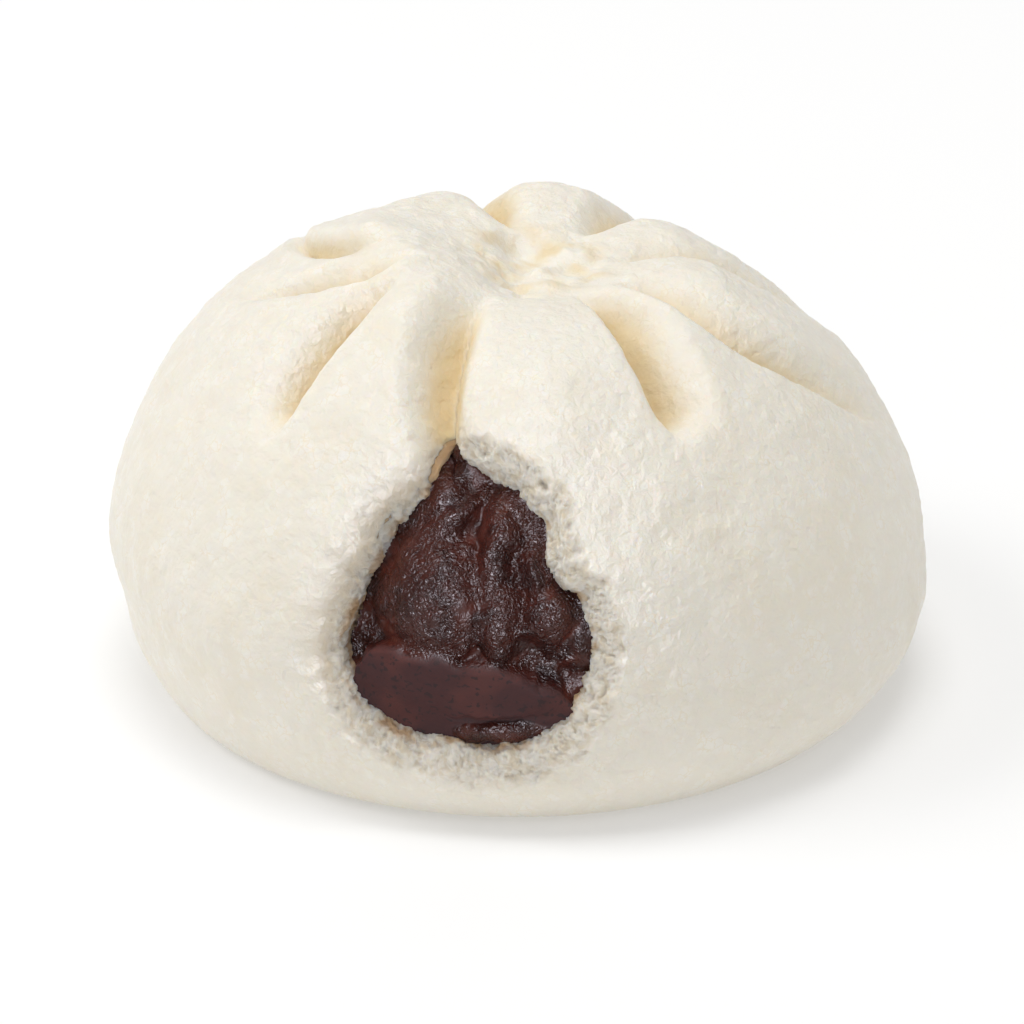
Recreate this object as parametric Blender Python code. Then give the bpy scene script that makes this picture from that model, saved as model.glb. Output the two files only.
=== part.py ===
"""A steamed bean paste bun: a pleated dough dome, torn open at the front down to its bean paste.

Two solids in metres, +Z up, standing on z = 0 with the torn side facing -Y:
    dough       the bun's body, with pleats that run out from the knot, and the tear
    bean_paste  the lump of filling, bare where the dough is torn away
"""

from math import cos, pi, radians, sin
from typing import NamedTuple

import bmesh
import bpy
import numpy as np

# The body without its pleats: a dome on a rounded bowl, standing on a flat foot.
GIRTH_RADIUS = 0.045
GIRTH_HEIGHT = 0.016
DOME_HEIGHT = 0.0373
DOME_POWER = 1.83
BOWL_DEPTH = 0.0236
BOWL_POWER = 2.9
FOOT_ROUNDING = 0.003
LEAN = -0.0033
BELLY_LEAN = 0.0011
HEART = np.array((0.0, 0.0, GIRTH_HEIGHT))
BODY_SEGMENTS = 116
BODY_RINGS = 35

# The gathered top.
KNOT = np.array((0.0025, 0.0013))
CRATER_DEPTH = 0.0070
CRATER_RADIUS = 0.0205
DIP = np.array((0.0010, -0.0130))
DIP_DEPTH = 0.0022
DIP_RADIUS = 0.0150
PLEATED_FROM = 0.008
PLEATED_FULLY = 0.022
SWELL_FROM = 0.006
SWELL_FULLY = 0.020
SWELL_FADES = 0.028
SWELL_GONE = 0.042
SWIRL_START = 0.016
SWIRL_LENGTH = 0.020
MOST_SWIRL = 1.2
CREASE_ROUNDING = 0.2
MERIDIANS_SET = 0.027
TURNED_TO = 0.032
TURNED_BACK = 0.044

# The filling, a lump that stops short of the skin.
PASTE_CENTRE = np.array((-0.0040, -0.0170, 0.0235))
PASTE_RADII = np.array((0.0175, 0.0285, 0.0162))
PASTE_POWER = 3
PASTE_RECESS = 0.0030
PASTE_BLEND = 0.0020
PASTE_SEGMENTS = 40
PASTE_RINGS = 22
CLEARANCE = 0.00035

# The tear, seen from the front: its middle, its corners as (x, z), and how far it flares to the skin.
TEAR_CENTRE = np.array((-0.0045, 0.0240))
TEAR_CORNERS = (
    (0.0078, 0.0234),
    (0.0066, 0.0270),
    (0.0038, 0.0290),
    (0.0039, 0.0328),
    (0.0010, 0.0357),
    (-0.0032, 0.0377),
    (-0.0047, 0.0387),
    (-0.0064, 0.0388),
    (-0.0108, 0.0336),
    (-0.0138, 0.0293),
    (-0.0169, 0.0245),
    (-0.0184, 0.0189),
    (-0.0172, 0.0150),
    (-0.0156, 0.0120),
    (-0.0134, 0.0105),
    (-0.0029, 0.0098),
    (0.0020, 0.0119),
    (0.0068, 0.0167),
)
TEAR_FLARE = 1.25
TEAR_FRONT = -0.056
TEAR_BACK = -0.026
TEAR_SEGMENTS = 60


class Pleat(NamedTuple):
    """A crease, and the lobe between it and the next. Angles in degrees, distances from the knot.

    One lobe laps over the next, so it falls steeply to the crease, and the other falls gently to it.
    The steep one lies towards higher azimuths if the lap is 1, and towards lower ones if it is -1.
    """

    azimuth: float
    swirl: float
    start: float
    full: float
    end: float
    fade: float
    depth: float
    lap: int
    steep: float
    gentle: float
    swell: float


PLEATS = (
    Pleat(9, 6, 0.008, 0.015, 0.040, 0.012, 0.0038, -1, 0.0040, 0.0080, -0.0003),
    Pleat(57, -2, 0.008, 0.017, 0.040, 0.014, 0.0036, -1, 0.0050, 0.0060, 0.0011),
    Pleat(109, 0, 0.008, 0.015, 0.040, 0.014, 0.0050, 0, 0.0065, 0.0065, -0.0007),
    Pleat(191, -80, 0.013, 0.026, 0.033, 0.008, 0.0034, -1, 0.0045, 0.0060, -0.0005),
    Pleat(213, -40, 0.015, 0.021, 0.035, 0.009, 0.0032, 1, 0.0026, 0.0055, 0.0004),
    Pleat(221, 2, 0.018, 0.028, 0.040, 0.006, 0.0048, 1, 0.0026, 0.0055, 0.0007),
    Pleat(249, 6, 0.014, 0.027, 0.039, 0.007, 0.0056, 1, 0.0030, 0.0065, 0.0005),
    Pleat(295, 0, 0.010, 0.017, 0.034, 0.005, 0.0052, -1, 0.0026, 0.0070, 0.0003),
    Pleat(318, 27, 0.011, 0.017, 0.040, 0.012, 0.0050, -1, 0.0024, 0.0090, 0.0002),
)
NARROWEST_LOBE = 5.0
PLEAT_FULL_WIDTH = 0.020
GENTLE_POWER = 1.7

PARTS_COLLECTION = "bean_paste_bun"
CUTTERS_COLLECTION = "cutters"


def smooth_step(low, high, value):
    """0 below low, 1 above high, and a smooth rise between them."""
    share = np.clip((value - low) / (high - low), 0, 1)
    return share * share * (3 - 2 * share)


def smooth_smaller(a, b, blend):
    """The smaller of two lengths, rounded where they are less than blend apart."""
    share = np.clip(0.5 + 0.5 * (b - a) / blend, 0, 1)
    return b * (1 - share) + a * share - blend * share * (1 - share)


def unit(vectors):
    """The vectors at length 1."""
    return vectors / np.maximum(np.linalg.norm(vectors, axis=1, keepdims=True), 1e-9)


def swirl_share(distance):
    """How much of its swirl a crease has made at a distance from the knot."""
    return np.clip(((distance - SWIRL_START) / SWIRL_LENGTH), 0, MOST_SWIRL**0.5) ** 2


def along_creases(directions):
    """Turns a sphere's meridians to start at the knot, with one in each crease, and back below the pleats."""
    step = 360 / BODY_SEGMENTS
    swirls = np.array([pleat.swirl for pleat in PLEATS])
    creases = np.array([pleat.azimuth for pleat in PLEATS]) + swirls * swirl_share(MERIDIANS_SET)
    nearest = np.round(creases / step) * step
    across = np.hypot(directions[:, 0], directions[:, 1])
    azimuth = np.degrees(np.arctan2(directions[:, 1], directions[:, 0]))
    distance = GIRTH_RADIUS * across
    turned = swirl_share(distance) - swirl_share(MERIDIANS_SET)
    turned = turned * (1 - smooth_step(TURNED_TO, TURNED_BACK, distance))
    swirl = np.interp(azimuth, nearest, swirls, period=360) * turned
    azimuth = azimuth + swirl + np.interp(azimuth, nearest, creases - nearest, period=360)
    azimuth = np.radians(azimuth)
    upward = np.clip(directions[:, 2], 0, None) ** 2 / DOME_HEIGHT
    turned = np.column_stack(
        (
            across * np.cos(azimuth) + upward * (KNOT[0] - LEAN),
            across * np.sin(azimuth) + upward * KNOT[1],
            directions[:, 2],
        )
    )
    return unit(turned)


def body_radius(directions):
    """The distance from the middle of the girth to the body without pleats, along each direction."""
    across = np.hypot(directions[:, 0], directions[:, 1])
    above = directions[:, 2] > 0
    height = np.where(above, DOME_HEIGHT, BOWL_DEPTH)
    power = np.where(above, DOME_POWER, BOWL_POWER)
    level = (across / GIRTH_RADIUS) ** power + (np.abs(directions[:, 2]) / height) ** power
    to_floor = GIRTH_HEIGHT / np.maximum(-directions[:, 2], 1e-4)
    return smooth_smaller(level ** (-1 / power), to_floor, FOOT_ROUNDING)


def body_points(directions):
    """The body without pleats. Its top leans to one side, and the part below its girth to the other."""
    points = directions * body_radius(directions)[:, None]
    lift = np.clip(points[:, 2] / DOME_HEIGHT, 0, 1)
    drop = np.clip(-points[:, 2] / GIRTH_HEIGHT, 0, 1)
    points[:, 0] += LEAN * lift**2 + BELLY_LEAN * np.sin(pi * drop)
    return points + HEART


def around_knot(points):
    """Distance and azimuth of points from the knot, seen from above."""
    from_knot = points[:, :2] - KNOT
    distance = np.maximum(np.hypot(from_knot[:, 0], from_knot[:, 1]), 1e-5)
    return distance, np.degrees(np.arctan2(from_knot[:, 1], from_knot[:, 0]))


def pleat_depth(points):
    """How far the pleats draw the surface in. Between them the lobes swell."""
    distance, azimuth = around_knot(points)
    turned = swirl_share(distance)
    widening = np.clip(distance / PLEAT_FULL_WIDTH, 0, 1)
    swelling = smooth_step(SWELL_FROM, SWELL_FULLY, distance)
    swelling = swelling * (1 - smooth_step(SWELL_FADES, SWELL_GONE, distance))
    depth = np.zeros(len(points))
    for number, pleat in enumerate(PLEATS):
        after = PLEATS[(number + 1) % len(PLEATS)]
        lobe = (after.azimuth - pleat.azimuth) % 360 + (after.swirl - pleat.swirl) * turned
        lobe = np.maximum(lobe, NARROWEST_LOBE)
        off_crease = (azimuth - pleat.azimuth - pleat.swirl * turned + 180) % 360 - 180
        steep_side = off_crease * pleat.lap >= 0
        reach = np.where(steep_side, pleat.steep, pleat.gentle) * widening
        share = np.radians(np.abs(off_crease)) * distance / reach
        share = np.clip(np.hypot(share, CREASE_ROUNDING) - CREASE_ROUNDING * (1 - share), 0, 1)
        across = np.where(steep_side, 1 - np.sqrt(1 - (1 - share) ** 2), (1 - share) ** GENTLE_POWER)
        along = smooth_step(pleat.start, pleat.full, distance)
        along = along * (1 - smooth_step(pleat.end - pleat.fade, pleat.end, distance))
        depth += pleat.depth * across * along
        across_lobe = np.sin(pi * np.clip(off_crease / lobe, 0, 1)) ** 2
        depth -= pleat.swell * across_lobe * swelling
    return depth


def crater_depth(points):
    """How far the gathered top is sunk round the knot, and in a dip in front of it."""
    distance, _ = around_knot(points)
    crater = CRATER_DEPTH * np.clip(1 - (distance / CRATER_RADIUS) ** 2, 0, 1) ** 2
    from_dip = np.linalg.norm(points[:, :2] - DIP, axis=1)
    return crater + DIP_DEPTH * np.clip(1 - (from_dip / DIP_RADIUS) ** 2, 0, 1) ** 2


def skin_points(directions):
    """The bun's skin: the body drawn in by its crater and pleats."""
    points = body_points(directions)
    radii = np.array((GIRTH_RADIUS, GIRTH_RADIUS, DOME_HEIGHT))
    outward = unit((points - HEART) / radii**2)
    pleated = smooth_step(PLEATED_FROM, PLEATED_FULLY, points[:, 2])
    drawn_in = pleated * (pleat_depth(points) + crater_depth(points))
    return points - outward * drawn_in[:, None]


def paste_points(directions, grown=0.0):
    """The filling: an oval lump, held back from the skin where it would come through."""
    lump = (np.abs(directions / PASTE_RADII) ** PASTE_POWER).sum(axis=1) ** (-1 / PASTE_POWER)
    from_heart = PASTE_CENTRE + directions * (lump + grown)[:, None] - HEART
    reach = np.linalg.norm(from_heart, axis=1)
    to_skin = np.linalg.norm(skin_points(unit(from_heart)) - HEART, axis=1)
    reach = smooth_smaller(reach, to_skin - PASTE_RECESS + grown, PASTE_BLEND)
    return HEART + unit(from_heart) * reach[:, None]


def tear_radius(angle):
    """The distance from the tear's middle to its edge, at an angle from +X, seen from the front."""
    corners = np.array(TEAR_CORNERS) - TEAR_CENTRE
    angles = np.arctan2(corners[:, 1], corners[:, 0])
    order = np.argsort(angles)
    lengths = np.hypot(corners[:, 0], corners[:, 1])[order]
    return float(np.interp(angle, angles[order], lengths, period=2 * pi))


def add_object(name, mesh, collection):
    """Puts a finished mesh in the scene as an object."""
    part = bpy.data.objects.new(name, mesh)
    collection.objects.link(part)
    return part


def shaped_sphere(name, segments, rings, shape, collection):
    """A sphere whose points are moved to shape(directions)."""
    form = bmesh.new()
    bmesh.ops.create_uvsphere(form, u_segments=segments, v_segments=rings, radius=1)
    directions = np.array([vertex.co.normalized() for vertex in form.verts])
    for vertex, point in zip(form.verts, shape(directions)):
        vertex.co = point
    bmesh.ops.triangulate(form, faces=form.faces[:])
    mesh = bpy.data.meshes.new(name)
    form.to_mesh(mesh)
    form.free()
    return add_object(name, mesh, collection)


def tear_cutter(collection):
    """A plug with the tear's outline, wider at the skin than at the filling."""
    form = bmesh.new()
    depth = TEAR_BACK - TEAR_FRONT
    bmesh.ops.create_cone(
        form, cap_ends=True, segments=TEAR_SEGMENTS, radius1=1, radius2=1, depth=depth
    )
    for vertex in form.verts:
        at_skin = vertex.co.z > 0
        angle = np.arctan2(vertex.co.y, vertex.co.x)
        radius = tear_radius(angle) * (TEAR_FLARE if at_skin else 1)
        vertex.co = (
            TEAR_CENTRE[0] + radius * cos(angle),
            TEAR_FRONT if at_skin else TEAR_BACK,
            TEAR_CENTRE[1] + radius * sin(angle),
        )
    bmesh.ops.recalc_face_normals(form, faces=form.faces)
    mesh = bpy.data.meshes.new("tear_cutter")
    form.to_mesh(mesh)
    form.free()
    return add_object("tear_cutter", mesh, collection)


def hide_cutter(cutter):
    """Keeps a cutter out of renders and draws it as wire."""
    cutter.hide_render = True
    cutter.display_type = "WIRE"


def cut(part, cutter):
    """Takes the cutter's volume away from the part."""
    modifier = part.modifiers.new("cut_by_" + cutter.name, "BOOLEAN")
    modifier.operation = "DIFFERENCE"
    modifier.solver = "EXACT"
    modifier.object = cutter


def finish(part, colour, roughness, smooth_angle=35):
    """Shades the part smooth and gives it a plain material of its own."""
    material = bpy.data.materials.new(part.name)
    material.use_nodes = True
    shader = material.node_tree.nodes["Principled BSDF"]
    shader.inputs["Base Color"].default_value = (*colour, 1)
    shader.inputs["Roughness"].default_value = roughness
    shader.inputs["Metallic"].default_value = 0
    part.data.materials.append(material)
    part.data.shade_smooth()
    part.data.set_sharp_from_angle(angle=radians(smooth_angle))


def new_collection(name):
    """Makes a collection in the scene."""
    collection = bpy.data.collections.new(name)
    bpy.context.scene.collection.children.link(collection)
    return collection


def build():
    """Models the bun."""
    for old in list(bpy.data.objects):
        bpy.data.objects.remove(old)
    parts = new_collection(PARTS_COLLECTION)
    cutters = new_collection(CUTTERS_COLLECTION)

    paste = shaped_sphere("bean_paste", PASTE_SEGMENTS, PASTE_RINGS, paste_points, parts)
    finish(paste, colour=(0.045, 0.014, 0.011), roughness=0.35)

    pocket = shaped_sphere(
        "paste_pocket",
        PASTE_SEGMENTS,
        PASTE_RINGS,
        lambda directions: paste_points(directions, grown=CLEARANCE),
        cutters,
    )
    tear = tear_cutter(cutters)
    dough = shaped_sphere(
        "dough",
        BODY_SEGMENTS,
        BODY_RINGS,
        lambda directions: skin_points(along_creases(directions)),
        parts,
    )
    for cutter in (pocket, tear):
        hide_cutter(cutter)
        cut(dough, cutter)
    finish(dough, colour=(0.84, 0.79, 0.68), roughness=0.55)


build()
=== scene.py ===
"""The looks of the steamed bean paste bun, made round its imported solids.

The dough and the paste are each one closed mesh. Both are laid out in rings round an axis that runs from
the heart of the bun out through the middle of the tear. Lengths are in millimetres until a mesh is made.
"""

from math import cos, pi, radians, sin
from typing import NamedTuple

import bpy
import numpy as np
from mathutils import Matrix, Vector, noise


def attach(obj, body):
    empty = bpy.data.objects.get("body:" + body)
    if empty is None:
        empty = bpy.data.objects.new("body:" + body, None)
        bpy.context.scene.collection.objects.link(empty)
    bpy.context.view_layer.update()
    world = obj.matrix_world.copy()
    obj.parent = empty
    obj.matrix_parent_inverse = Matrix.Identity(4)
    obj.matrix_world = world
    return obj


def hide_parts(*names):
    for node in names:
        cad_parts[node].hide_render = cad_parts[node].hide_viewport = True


METRES = 0.001

# Limits that keep divisions and roots from failing.
LEAST_LENGTH = 1e-9
LEAST_FALL_TO_FLOOR = 1e-4
LEAST_FROM_KNOT = 0.01
MOST_OF_HEIGHT = 0.999

# The body without its pleats, as in the solids: a dome on a rounded bowl, on a flat foot.
GIRTH_RADIUS = 45.0
GIRTH_HEIGHT = 16.0
DOME_HEIGHT = 37.3
DOME_POWER = 1.83
BOWL_DEPTH = 23.6
BOWL_POWER = 2.9
FOOT_ROUNDING = 3.0
LEAN = -3.3
BELLY_LEAN = 1.1

# The gathered top.
KNOT = np.array((2.5, 1.3))
CRATER_DEPTH = 7.0
CRATER_RADIUS = 20.5
DIP = np.array((1.0, -13.0))
DIP_DEPTH = 2.2
DIP_RADIUS = 15.0
PLEATED_FROM = 8.0
PLEATED_FULLY = 22.0
SWELL_FROM = 6.0
SWELL_FULLY = 20.0
SWELL_FADES = 28.0
SWELL_GONE = 42.0
SWIRL_START = 16.0
SWIRL_LENGTH = 20.0
MOST_SWIRL = 1.2
CREASE_ROUNDING = 0.16
# A crease this deep gets the full painted crease shade.
DEEP_CREASE = 5.0

# The filling, a lump that stops short of the skin.
PASTE_CENTRE = np.array((-4.0, -17.0, 23.5))
PASTE_RADII = np.array((17.5, 28.5, 16.2))
PASTE_POWER = 3
PASTE_RECESS = 3.0
PASTE_BLEND = 2.0
HALVINGS = 32

# The rings' axis, and the tear's edge as (x, z) on a surface a little under the skin.
HEART = np.array((0.0, 0.0, GIRTH_HEIGHT))
TEAR_MIDDLE = np.array((-4.5, -43.5, 24.0))
EDGE_DEPTH = 2.0
TEAR_EDGE = (
    (7.8, 23.4),
    (7.1, 25.8),
    (6.6, 27.0),
    (4.7, 27.3),
    (3.8, 29.0),
    (3.6, 30.9),
    (3.9, 32.8),
    (2.0, 34.6),
    (1.0, 35.7),
    (-1.5, 37.2),
    (-3.2, 37.7),
    (-4.7, 38.7),
    (-6.4, 38.8),
    (-7.6, 37.0),
    (-8.0, 35.8),
    (-9.5, 34.7),
    (-10.8, 33.6),
    (-12.3, 32.2),
    (-13.8, 29.3),
    (-15.6, 26.9),
    (-16.9, 24.5),
    (-17.9, 22.2),
    (-18.4, 18.9),
    (-17.2, 15.0),
    (-15.6, 12.0),
    (-13.4, 10.5),
    (-6.9, 10.0),
    (-2.9, 9.8),
    (0.3, 10.6),
    (2.0, 11.9),
    (4.2, 13.2),
    (6.8, 16.7),
    (7.8, 19.8),
)


class Pleat(NamedTuple):
    """A crease, and the lobe between it and the next. Angles in degrees, distances from the knot.

    One lobe laps over the next, so it falls steeply to the crease, and the other falls gently to it.
    The steep one lies towards higher azimuths if the lap is 1, and towards lower ones if it is -1.
    """

    azimuth: float
    swirl: float
    start: float
    full: float
    end: float
    fade: float
    depth: float
    lap: int
    steep: float
    gentle: float
    swell: float


PLEATS = (
    Pleat(9, 6, 8, 15, 40, 12, 3.8, -1, 4.0, 8.0, -0.3),
    Pleat(57, -2, 8, 17, 40, 14, 3.6, -1, 5.0, 6.0, 1.1),
    Pleat(109, 0, 8, 15, 40, 14, 5.0, 0, 6.5, 6.5, -0.7),
    Pleat(191, -80, 13, 26, 33, 8, 3.4, -1, 4.5, 6.0, -0.5),
    Pleat(213, -40, 15, 21, 35, 9, 3.2, 1, 2.6, 5.5, 0.4),
    Pleat(221, 2, 18, 28, 40, 6, 4.8, 1, 2.6, 5.5, 0.7),
    Pleat(249, 6, 14, 27, 39, 7, 5.6, 1, 3.0, 6.5, 0.5),
    Pleat(295, 0, 10, 17, 34, 5, 5.2, -1, 2.6, 7.0, 0.3),
    Pleat(318, 27, 11, 17, 40, 12, 5.0, -1, 2.4, 9.0, 0.2),
)
NARROWEST_LOBE = 5.0
PLEAT_FULL_WIDTH = 20.0
GENTLE_POWER = 1.7


class Lip(NamedTuple):
    """How the skin turns in at the tear, at an angle in degrees from +X seen from the front.

    The lip has a width along the skin and a depth under it, and crumb is the width over which it is bare.
    In section it is a quarter of an ellipse at roundness 2, and a straight slope at 1.
    """

    angle: float
    width: float
    depth: float
    roundness: float
    crumb: float


LIPS = (
    Lip(0, 3.0, 3.0, 1.5, 2.7),
    Lip(25, 3.6, 3.0, 1.5, 3.4),
    Lip(50, 4.4, 3.0, 1.6, 4.2),
    Lip(85, 3.8, 3.4, 1.6, 3.6),
    Lip(108, 6.0, 3.6, 1.9, 1.4),
    Lip(135, 7.5, 5.0, 1.9, 1.2),
    Lip(165, 6.4, 4.6, 2.0, 1.2),
    Lip(200, 5.0, 4.0, 1.9, 1.4),
    Lip(230, 4.0, 3.6, 1.8, 2.4),
    Lip(260, 3.4, 3.2, 1.6, 3.2),
    Lip(300, 3.2, 3.0, 1.5, 3.2),
    Lip(330, 3.0, 3.0, 1.5, 2.7),
)


class Spot(NamedTuple):
    """A round lump on the skin, or a dent if its height is negative.

    Its middle is given as (x, y) on the gathered top, and as (x, z) at the tear.
    """

    x: float
    y: float
    radius: float
    height: float


KNOT_RADIUS = 11.0
# How much painted yellow crease shade the puckers round the knot get.
KNOT_CREASE_SHADE = 0.75
KNOT_SPOTS = (
    Spot(0.8, 5.4, 4.0, -1.2),
    Spot(-0.2, 0.8, 2.6, -0.7),
    Spot(-0.6, -2.6, 2.2, -0.9),
    Spot(0.0, -6.0, 2.0, -0.9),
    Spot(0.9, -9.3, 1.6, -1.3),
    Spot(3.4, -5.4, 3.0, 1.1),
    Spot(2.8, -0.6, 2.2, 0.7),
    Spot(6.4, 4.4, 3.0, 0.6),
    Spot(-3.6, -3.4, 3.0, 0.5),
    Spot(-6.0, -6.4, 4.4, 0.4),
    Spot(-4.4, 4.0, 3.0, 0.4),
    Spot(3.4, 9.4, 3.0, 0.5),
)

# Pores, dents and lumps at the tear, as (x, z) on the front.
TEAR_SPOTS = (
    Spot(-13.5, 35.8, 1.5, -0.4),
    Spot(2.7, 36.7, 0.7, -0.6),
    Spot(3.9, 34.4, 0.5, -0.7),
    Spot(5.2, 33.3, 0.5, -0.6),
    Spot(6.2, 31.0, 0.8, -0.3),
    Spot(5.4, 26.9, 0.9, -0.7),
    Spot(-10.8, 34.4, 1.5, 0.9),
    Spot(-5.0, 40.2, 1.4, 0.7),
    Spot(-2.6, 38.8, 1.2, 0.5),
    Spot(1.9, 36.0, 1.5, 0.6),
    Spot(4.3, 27.9, 1.2, 0.9),
    Spot(6.6, 25.8, 0.8, 0.5),
)


class Grain(NamedTuple):
    """Noise on a surface: the size of its lumps, its height, its octaves and its seed."""

    size: float
    height: float
    octaves: int
    seed: int


# Each octave of noise is twice as fine as the one before and half as high. Seeds move the noise along.
OCTAVE_FALL = 1.0
OCTAVE_STEP = 2.0
SEED_SPACING = 31.7
CELL_SEED_SPACING = 17.3

# The dough's grains, and the noise levels between which the patches of crinkles and of pores begin.
SKIN_SWELLS = Grain(11.0, 0.32, 2, 5)
SKIN_LUMPS = Grain(3.4, 0.16, 2, 6)
SKIN_CRINKLES = Grain(1.3, 0.13, 3, 10)
CRINKLED_PATCHES = Grain(9.0, 1.0, 1, 9)
CRINKLED_LEVELS = (-0.25, 0.25)
KNOT_CRINKLES = Grain(2.0, 0.65, 3, 14)
KNOT_PUCKERS = Grain(3.0, 1.0, 2, 15)
CRUMB_LUMPS = Grain(2.2, 0.34, 3, 3)
CRUMB_FIBRES = Grain(0.6, 0.36, 2, 4)
FIBRE_CREST = 0.5
FIBRE_DROP = 1.6
POROUS_PATCHES = Grain(4.0, 1.0, 1, 8)
POROUS_LEVELS = (0.0, 0.3)
PORE_SPACING = 1.9
PORE_RADIUS = 0.55
PORE_DEPTH = 0.8
PORE_SEED = 2
RAGGED_EDGE = Grain(1.5, 0.9, 3, 1)
EDGE_TEETH = Grain(1.7, 0.30, 3, 7)

# Distances over which the crumb gives way to skin, the relief begins under the lip, and it begins above
# the foot.
CRUMB_FADES = (-1.4, 0.8)
RELIEF_BEGINS = (-3.0, -1.5)
FOOT_ROUGHENS = (1.0, 6.0)


class Lump(NamedTuple):
    """A rounded lump of paste as seen from the front: its middle, half sizes, lean in degrees and height."""

    x: float
    z: float
    half_width: float
    half_height: float
    lean: float
    height: float


PASTE_LUMPS = (
    Lump(-6.0, 38.4, 2.0, 2.6, -10, 2.8),
    Lump(-8.6, 33.4, 4.4, 1.7, 38, 1.4),
    Lump(-6.2, 32.4, 3.6, 1.1, 35, 1.3),
    Lump(0.9, 33.8, 2.2, 2.0, -30, 1.8),
    Lump(-1.8, 30.2, 2.0, 5.4, -12, 1.9),
    Lump(-8.4, 25.6, 5.8, 6.2, 12, 2.6),
    Lump(2.4, 32.0, 2.0, 2.4, 0, 0.4),
    Lump(2.1, 28.0, 1.6, 2.6, 15, 1.7),
    Lump(3.4, 24.2, 3.0, 2.8, 0, 2.0),
    Lump(7.3, 23.2, 1.6, 3.4, -8, 1.0),
    Lump(-1.8, 23.4, 2.4, 4.6, 0, 1.7),
)
LUMP_ROUNDING = 0.6
LEAST_LUMP_FALL = 0.6
VALLEY_FLOOR = -1.3
LUMP_WARPS = (Grain(2.6, 0.7, 2, 12), Grain(2.6, 0.7, 2, 13))

# The cut facet below a line of (x, z) places, with lumps and dents of its own.
FACET_LINE = (
    (-18.0, 13.0),
    (-16.4, 16.8),
    (-15.1, 18.7),
    (-13.3, 20.2),
    (-7.2, 19.8),
    (-1.4, 18.5),
    (1.7, 17.6),
    (4.8, 16.0),
    (8.0, 13.5),
)
FACET_EDGE = (-1.0, 0.6)
FACET_LEVEL = 1.7
FACET_SLOPE = 0.24
FACET_LUMPS = (
    Lump(-1.4, 11.6, 5.4, 1.5, 3, 1.7),
)
FACET_LUMP_BLEND = 0.4
FACET_LUMP_EDGE = (-0.2, 0.4)
FACET_LUMP_ROUGH = 0.75
FACET_DENTS = (
    Lump(6.3, 18.2, 2.2, 1.6, 20, 1.2),
    Lump(-1.6, 13.4, 6.4, 0.7, 2, 0.5),
    Lump(-19.0, 22.0, 4.4, 10.0, -15, 3.0),
)

# The film on the paste: where it is thick, and how high its folds, pillows and creases stand.
FILM_WARPS = (Grain(0.9, 0.25, 1, 21), Grain(0.9, 0.25, 1, 22), Grain(0.9, 0.25, 1, 23))
FILM_PATCHES = Grain(4.0, 1.0, 2, 25)
FILM_ON_LUMPS = 0.6
FILM_LEVELS = (-0.15, 0.35)
HIGH_LEVELS = (-0.2, 0.8)
THIN_FILM = 0.4
PASTE_FOLDS = Grain(1.3, 0.12, 2, 26)
FOLDS_LOST_ON_FACET = 0.8
FILM_PILLOWS = Grain(0.8, 0.06, 2, 24)
PILLOW_LEVELS = (0.0, 0.45)
FILM_CREASES = Grain(0.35, 0.02, 2, 27)

# How the paste's front sinks under the skin. Pairs are shares of the way from the axis to the rim.
PASTE_DEPTH = 3.2
PASTE_BELOW_LIP = 0.1
PASTE_DRAWN_IN = 0.55
SINKS_TO_RIM = (0.35, 0.95)
FLAT_AT_RIM = (0.75, 1.0)
MOST_FLATTENING = 0.6
PASTE_HIDDEN_FROM = 1.02
PASTE_FRONT = 1.3

# The hidden parts of the dough: the pocket round the paste, and the torn edge that goes down behind it.
POCKET_CLOSING = 1.5
POCKET_LIP = 0.03
POCKET_GAP = 0.35
POCKET_FROM_RIM = -9.0
BURIED_DEPTH = 1.6

# How finely the meshes are made. Rings on the skin are evenly spaced near the lip, and close on the far pole
# between two shares of the way to it.
SEGMENTS = 440
RIM_STEPS = 26
BURIED_STEPS = 4
POCKET_RINGS = 16
PASTE_FRONT_RINGS = 170
PASTE_BACK_RINGS = 36
SKIN_STRETCHES = ((20.0, 0.38), (50.0, 0.62))
LAST_SKIN_STEP = 1.2
SKIN_SCALE = GIRTH_RADIUS
SKIN_CLOSES = (0.15, 0.6)
RIM_SMOOTHING = 9
LIP_SMOOTHING = 31
TOP_TRIES = 4

# Colours, as linear red, green and blue.
SKIN_CREAM = (0.86, 0.815, 0.72)
SKIN_WARM = (0.84, 0.775, 0.65)
SKIN_FLAKE = (0.90, 0.87, 0.80)
# Painted shade: the yellow laid in the creases and round the knot. The fine veins on the skin are drawn in
# it too.
CREASE_SHADE_AND_VEIN_YELLOW = (0.79, 0.66, 0.43)
CRUMB_WHITE = (0.76, 0.715, 0.63)
# Painted shade: the darker colour of the crumb's hollows.
CRUMB_HOLLOW_SHADE = (0.60, 0.50, 0.34)
# Amber stain from the paste at the rim. Behind the rim the same amber is painted shade for the gap under the
# lip.
STAIN_AND_GAP_SHADE_AMBER = (0.50, 0.30, 0.13)
# Painted shade: the beige of the lip where it turns in.
LIP_SHADE_BEIGE = (0.66, 0.55, 0.40)
PASTE_DARK = (0.042, 0.008, 0.0045)
PASTE_RED = (0.135, 0.028, 0.016)
PASTE_FILM = (0.038, 0.010, 0.008)
PASTE_CUT = (0.050, 0.007, 0.005)
PASTE_SPECK = (0.020, 0.003, 0.002)
FLOOR_WHITE = (0.66, 0.66, 0.66)
FLOOR_GLOW = (1.0, 0.995, 0.98)
SHEEN_TINT = (0.90, 0.90, 1.0)

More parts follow.
